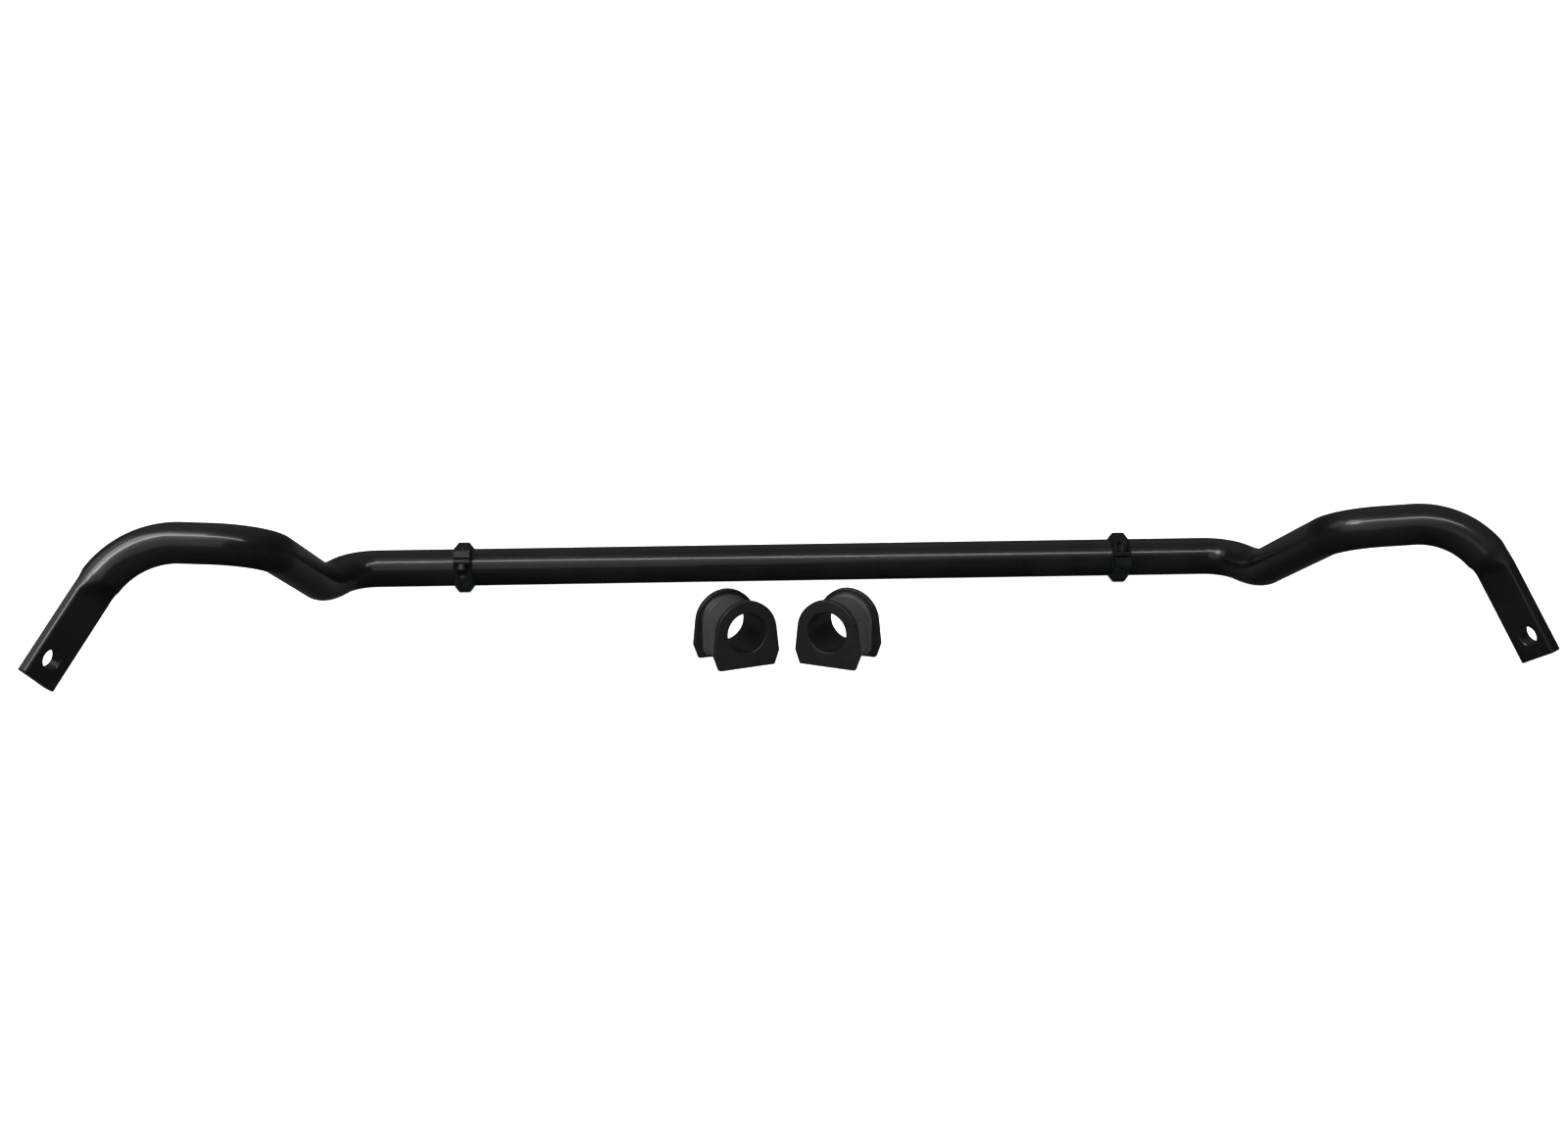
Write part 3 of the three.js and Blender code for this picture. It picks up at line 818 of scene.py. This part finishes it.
def powder_coat():
    """Semi-gloss black powder coat: orange peel, with faint mottling of colour and gloss."""
    finish = Finish("powder_coat_black")
    finish.set(Specular_IOR_Level=0.27, IOR=1.5, Coat_Weight=0.45, Coat_Roughness=0.11)
    mottle = finish.noise(0.035, detail=4)
    peel = finish.noise(0.0016, detail=1)
    grain = finish.noise(0.0004, detail=2)
    dark, pale = (0.0016, 0.0018, 0.0017), (0.0032, 0.0035, 0.0033)
    finish.colour(finish.blend(finish.spread(mottle, 0, 1), dark, pale))
    finish.rough(finish.spread(finish.add(mottle, grain, 0.35), 0.27, 0.36, 0.4, 0.9))
    finish.bump(finish.add(peel, grain, 0.15), 0.00006, 0.5)
    return finish.material


def lock_alloy():
    """Satin black anodised alloy with fine machining marks round the bore."""
    finish = Finish("anodised_alloy_black")
    finish.set(Metallic=0.0, Specular_IOR_Level=0.2, IOR=1.5)
    marks = finish.noise(0.004, detail=3, stretch=(14, 1, 1))
    mottle = finish.noise(0.006, detail=3)
    dark, pale = (0.0022, 0.003, 0.0029), (0.0045, 0.006, 0.0058)
    finish.colour(finish.blend(finish.spread(mottle, 0, 1), dark, pale))
    finish.rough(finish.spread(marks, 0.3, 0.46))
    finish.bump(marks, 0.00003, 0.6)
    return finish.material


def screw_steel():
    """Black oxide on steel, worn a little to bare metal."""
    finish = Finish("black_oxide_steel")
    finish.set(Metallic=0.85, IOR=1.5)
    patches = finish.noise(0.0025, detail=5)
    grain = finish.noise(0.0003, detail=2)
    oxide, worn = (0.018, 0.018, 0.02), (0.05, 0.048, 0.046)
    finish.colour(finish.blend(finish.spread(patches, 0, 1, 0.45, 0.8), oxide, worn))
    finish.rough(finish.spread(patches, 0.42, 0.28))
    finish.bump(grain, 0.00001, 0.6)
    return finish.material


def polyurethane():
    """Satin moulded polyurethane with a fine grain, and a painted sheen: lighter on the body between the
    flanges.
    """
    finish = Finish("polyurethane_black")
    finish.set(Specular_IOR_Level=0.5, IOR=1.5)
    mottle = finish.noise(0.012, detail=4)
    grain = finish.noise(0.0006, detail=3)
    flow = finish.noise(0.02, detail=3, stretch=(1, 1, 3))
    painted_sheen = finish.nodes.new("ShaderNodeAttribute")
    painted_sheen.attribute_name = "painted_sheen"
    # The body grey is a painted sheen: a lighter colour than the flanges that stands in for reflected
    # light.
    dark, pale, body = (0.004, 0.004, 0.0043), (0.006, 0.006, 0.0063), (0.031, 0.031, 0.0315)
    moulded = finish.blend(finish.spread(mottle, 0, 1), dark, pale)
    finish.colour(finish.mix(painted_sheen.outputs["Fac"], moulded, body))
    finish.rough(finish.spread(finish.add(flow, grain, 0.3), 0.36, 0.42, 0.4, 0.9))
    finish.bump(finish.add(grain, mottle, 0.3), 0.00002, 0.15)
    return finish.material


# ------------------------------------------------------------------ studio

def flat_material(name, colour, roughness, glow):
    material = bpy.data.materials.new(name)
    material.use_nodes = True
    shader = material.node_tree.nodes["Principled BSDF"]
    shader.inputs["Base Color"].default_value = (*colour, 1)
    shader.inputs["Roughness"].default_value = roughness
    shader.inputs["Specular IOR Level"].default_value = 0.1
    shader.inputs["Emission Color"].default_value = (*colour, 1)
    shader.inputs["Emission Strength"].default_value = glow
    return material


def add_stage(name, vertices, faces):
    mesh = bpy.data.meshes.new(name)
    mesh.from_pydata(vertices, [], faces)
    mesh.shade_smooth()
    mesh.materials.append(flat_material(name, STAGE_GREY, STAGE_ROUGHNESS, STAGE_GLOW))
    piece = bpy.data.objects.new(name, mesh)
    bpy.context.scene.collection.objects.link(piece)
    piece.visible_glossy = False


def build_floor():
    """A pale floor, with a backdrop that curves up far behind the object."""
    half, front, bend, radius = 9.0, -9.0, 5.0, 2.5
    flat = [(-half, front, 0), (half, front, 0), (half, bend, 0), (-half, bend, 0)]
    add_stage("pale_floor", flat, [(0, 1, 2, 3)])
    section = [(bend + radius * math.sin(a), radius - radius * math.cos(a))
               for a in (math.pi / 2 * k / 16 for k in range(17))]
    section.append((bend + radius, radius + 2.0))
    sweep = [(x, y, z) for x in (-half, half) for y, z in section]
    count = len(section)
    add_stage("pale_backdrop", sweep, [(k, k + 1, count + k + 1, count + k) for k in range(count - 1)])


def add_softbox(name, place, target, size, radiance):
    """A flat rectangular light that faces the target."""
    light = bpy.data.lights.new(name, "AREA")
    light.shape = "RECTANGLE"
    light.size, light.size_y = size
    light.energy = radiance * math.pi * size[0] * size[1]
    holder = bpy.data.objects.new(name, light)
    holder.location = place
    holder.rotation_euler = (Vector(target) - Vector(place)).to_track_quat("-Z", "Y").to_euler()
    bpy.context.scene.collection.objects.link(holder)


def build_world():
    """Soft grey surroundings: black straight below, dim round the horizon, brighter overhead."""
    world = bpy.data.worlds.new("studio")
    world.use_nodes = True
    nodes, links = world.node_tree.nodes, world.node_tree.links
    place = nodes.new("ShaderNodeTexCoord")
    parts = nodes.new("ShaderNodeSeparateXYZ")
    rise = nodes.new("ShaderNodeMapRange")
    rise.inputs["From Min"].default_value = -1.0
    rise.inputs["From Max"].default_value = 1.0
    ramp = nodes.new("ShaderNodeValToRGB")
    stops = ramp.color_ramp.elements
    stops[0].position, stops[1].position = 0, 1
    for share, _ in WORLD_GREYS[1:-1]:
        stops.new(share)
    for stop, (_, grey) in zip(stops, WORLD_GREYS):
        stop.color = (grey, grey, grey, 1)
    links.new(place.outputs["Generated"], parts.inputs["Vector"])
    links.new(parts.outputs["Z"], rise.inputs["Value"])
    links.new(rise.outputs["Result"], ramp.inputs["Fac"])
    links.new(ramp.outputs["Color"], nodes["Background"].inputs["Color"])
    bpy.context.scene.world = world


def build_lights(middle):
    """Softboxes round the bar, a soft overhead fill, and the surroundings."""
    for name, (azimuth, elevation, distance, size, radiance) in SOFTBOXES.items():
        a, e = math.radians(azimuth), math.radians(elevation)
        way = Vector((math.sin(a) * math.cos(e), -math.cos(a) * math.cos(e), math.sin(e)))
        add_softbox(name, middle + distance * way, middle, size, radiance)
    overhead = bpy.data.lights.new("overhead_fill", "SUN")
    overhead.angle = OVERHEAD_SPREAD
    overhead.energy = OVERHEAD_STRENGTH
    holder = bpy.data.objects.new("overhead_fill", overhead)
    holder.rotation_euler = (OVERHEAD_TILT, 0, 0)
    holder.visible_glossy = False
    bpy.context.scene.collection.objects.link(holder)
    build_world()


def build_camera(middle):
    """Camera in front of the bar, a little to the left, looking down at it."""
    place = middle + Vector(CAMERA_PLACE)
    yaw, pitch, roll = CAMERA_ANGLES
    level = math.cos(pitch)
    ahead = Vector((math.sin(yaw) * level, math.cos(yaw) * level, math.sin(pitch)))
    right = Vector((math.cos(yaw), -math.sin(yaw), 0))
    above = right.cross(ahead)
    level_right = math.cos(roll) * right + math.sin(roll) * above
    level_up = -math.sin(roll) * right + math.cos(roll) * above
    camera = bpy.data.cameras.new("camera")
    camera.sensor_width = CAMERA_SENSOR
    camera.lens = CAMERA_LENS
    camera.clip_start = 0.01
    holder = bpy.data.objects.new("camera", camera)
    basis = Matrix((level_right, level_up, -ahead)).transposed().to_4x4()
    holder.matrix_world = Matrix.Translation(place) @ basis
    bpy.context.scene.collection.objects.link(holder)
    bpy.context.scene.camera = holder


# ------------------------------------------------------------------ assembly

_, left_centre = lock_frame("left")
_, right_centre = lock_frame("right")
bar_middle = (left_centre + right_centre) / 2

finishes = {"powder_coat": powder_coat(), "lock_alloy": lock_alloy(), "screw_steel": screw_steel(),
            "polyurethane": polyurethane()}
build_bar(bar_middle, finishes["powder_coat"])
half_template, screw_template = lock_half_mesh(), screw_mesh()
for label in ("left", "right"):
    build_lock(label, half_template, screw_template, finishes)
    build_bush(label, finishes["polyurethane"])

build_floor()
build_lights(bar_middle)
build_camera(bar_middle)
bpy.context.scene.view_settings.view_transform = "Standard"
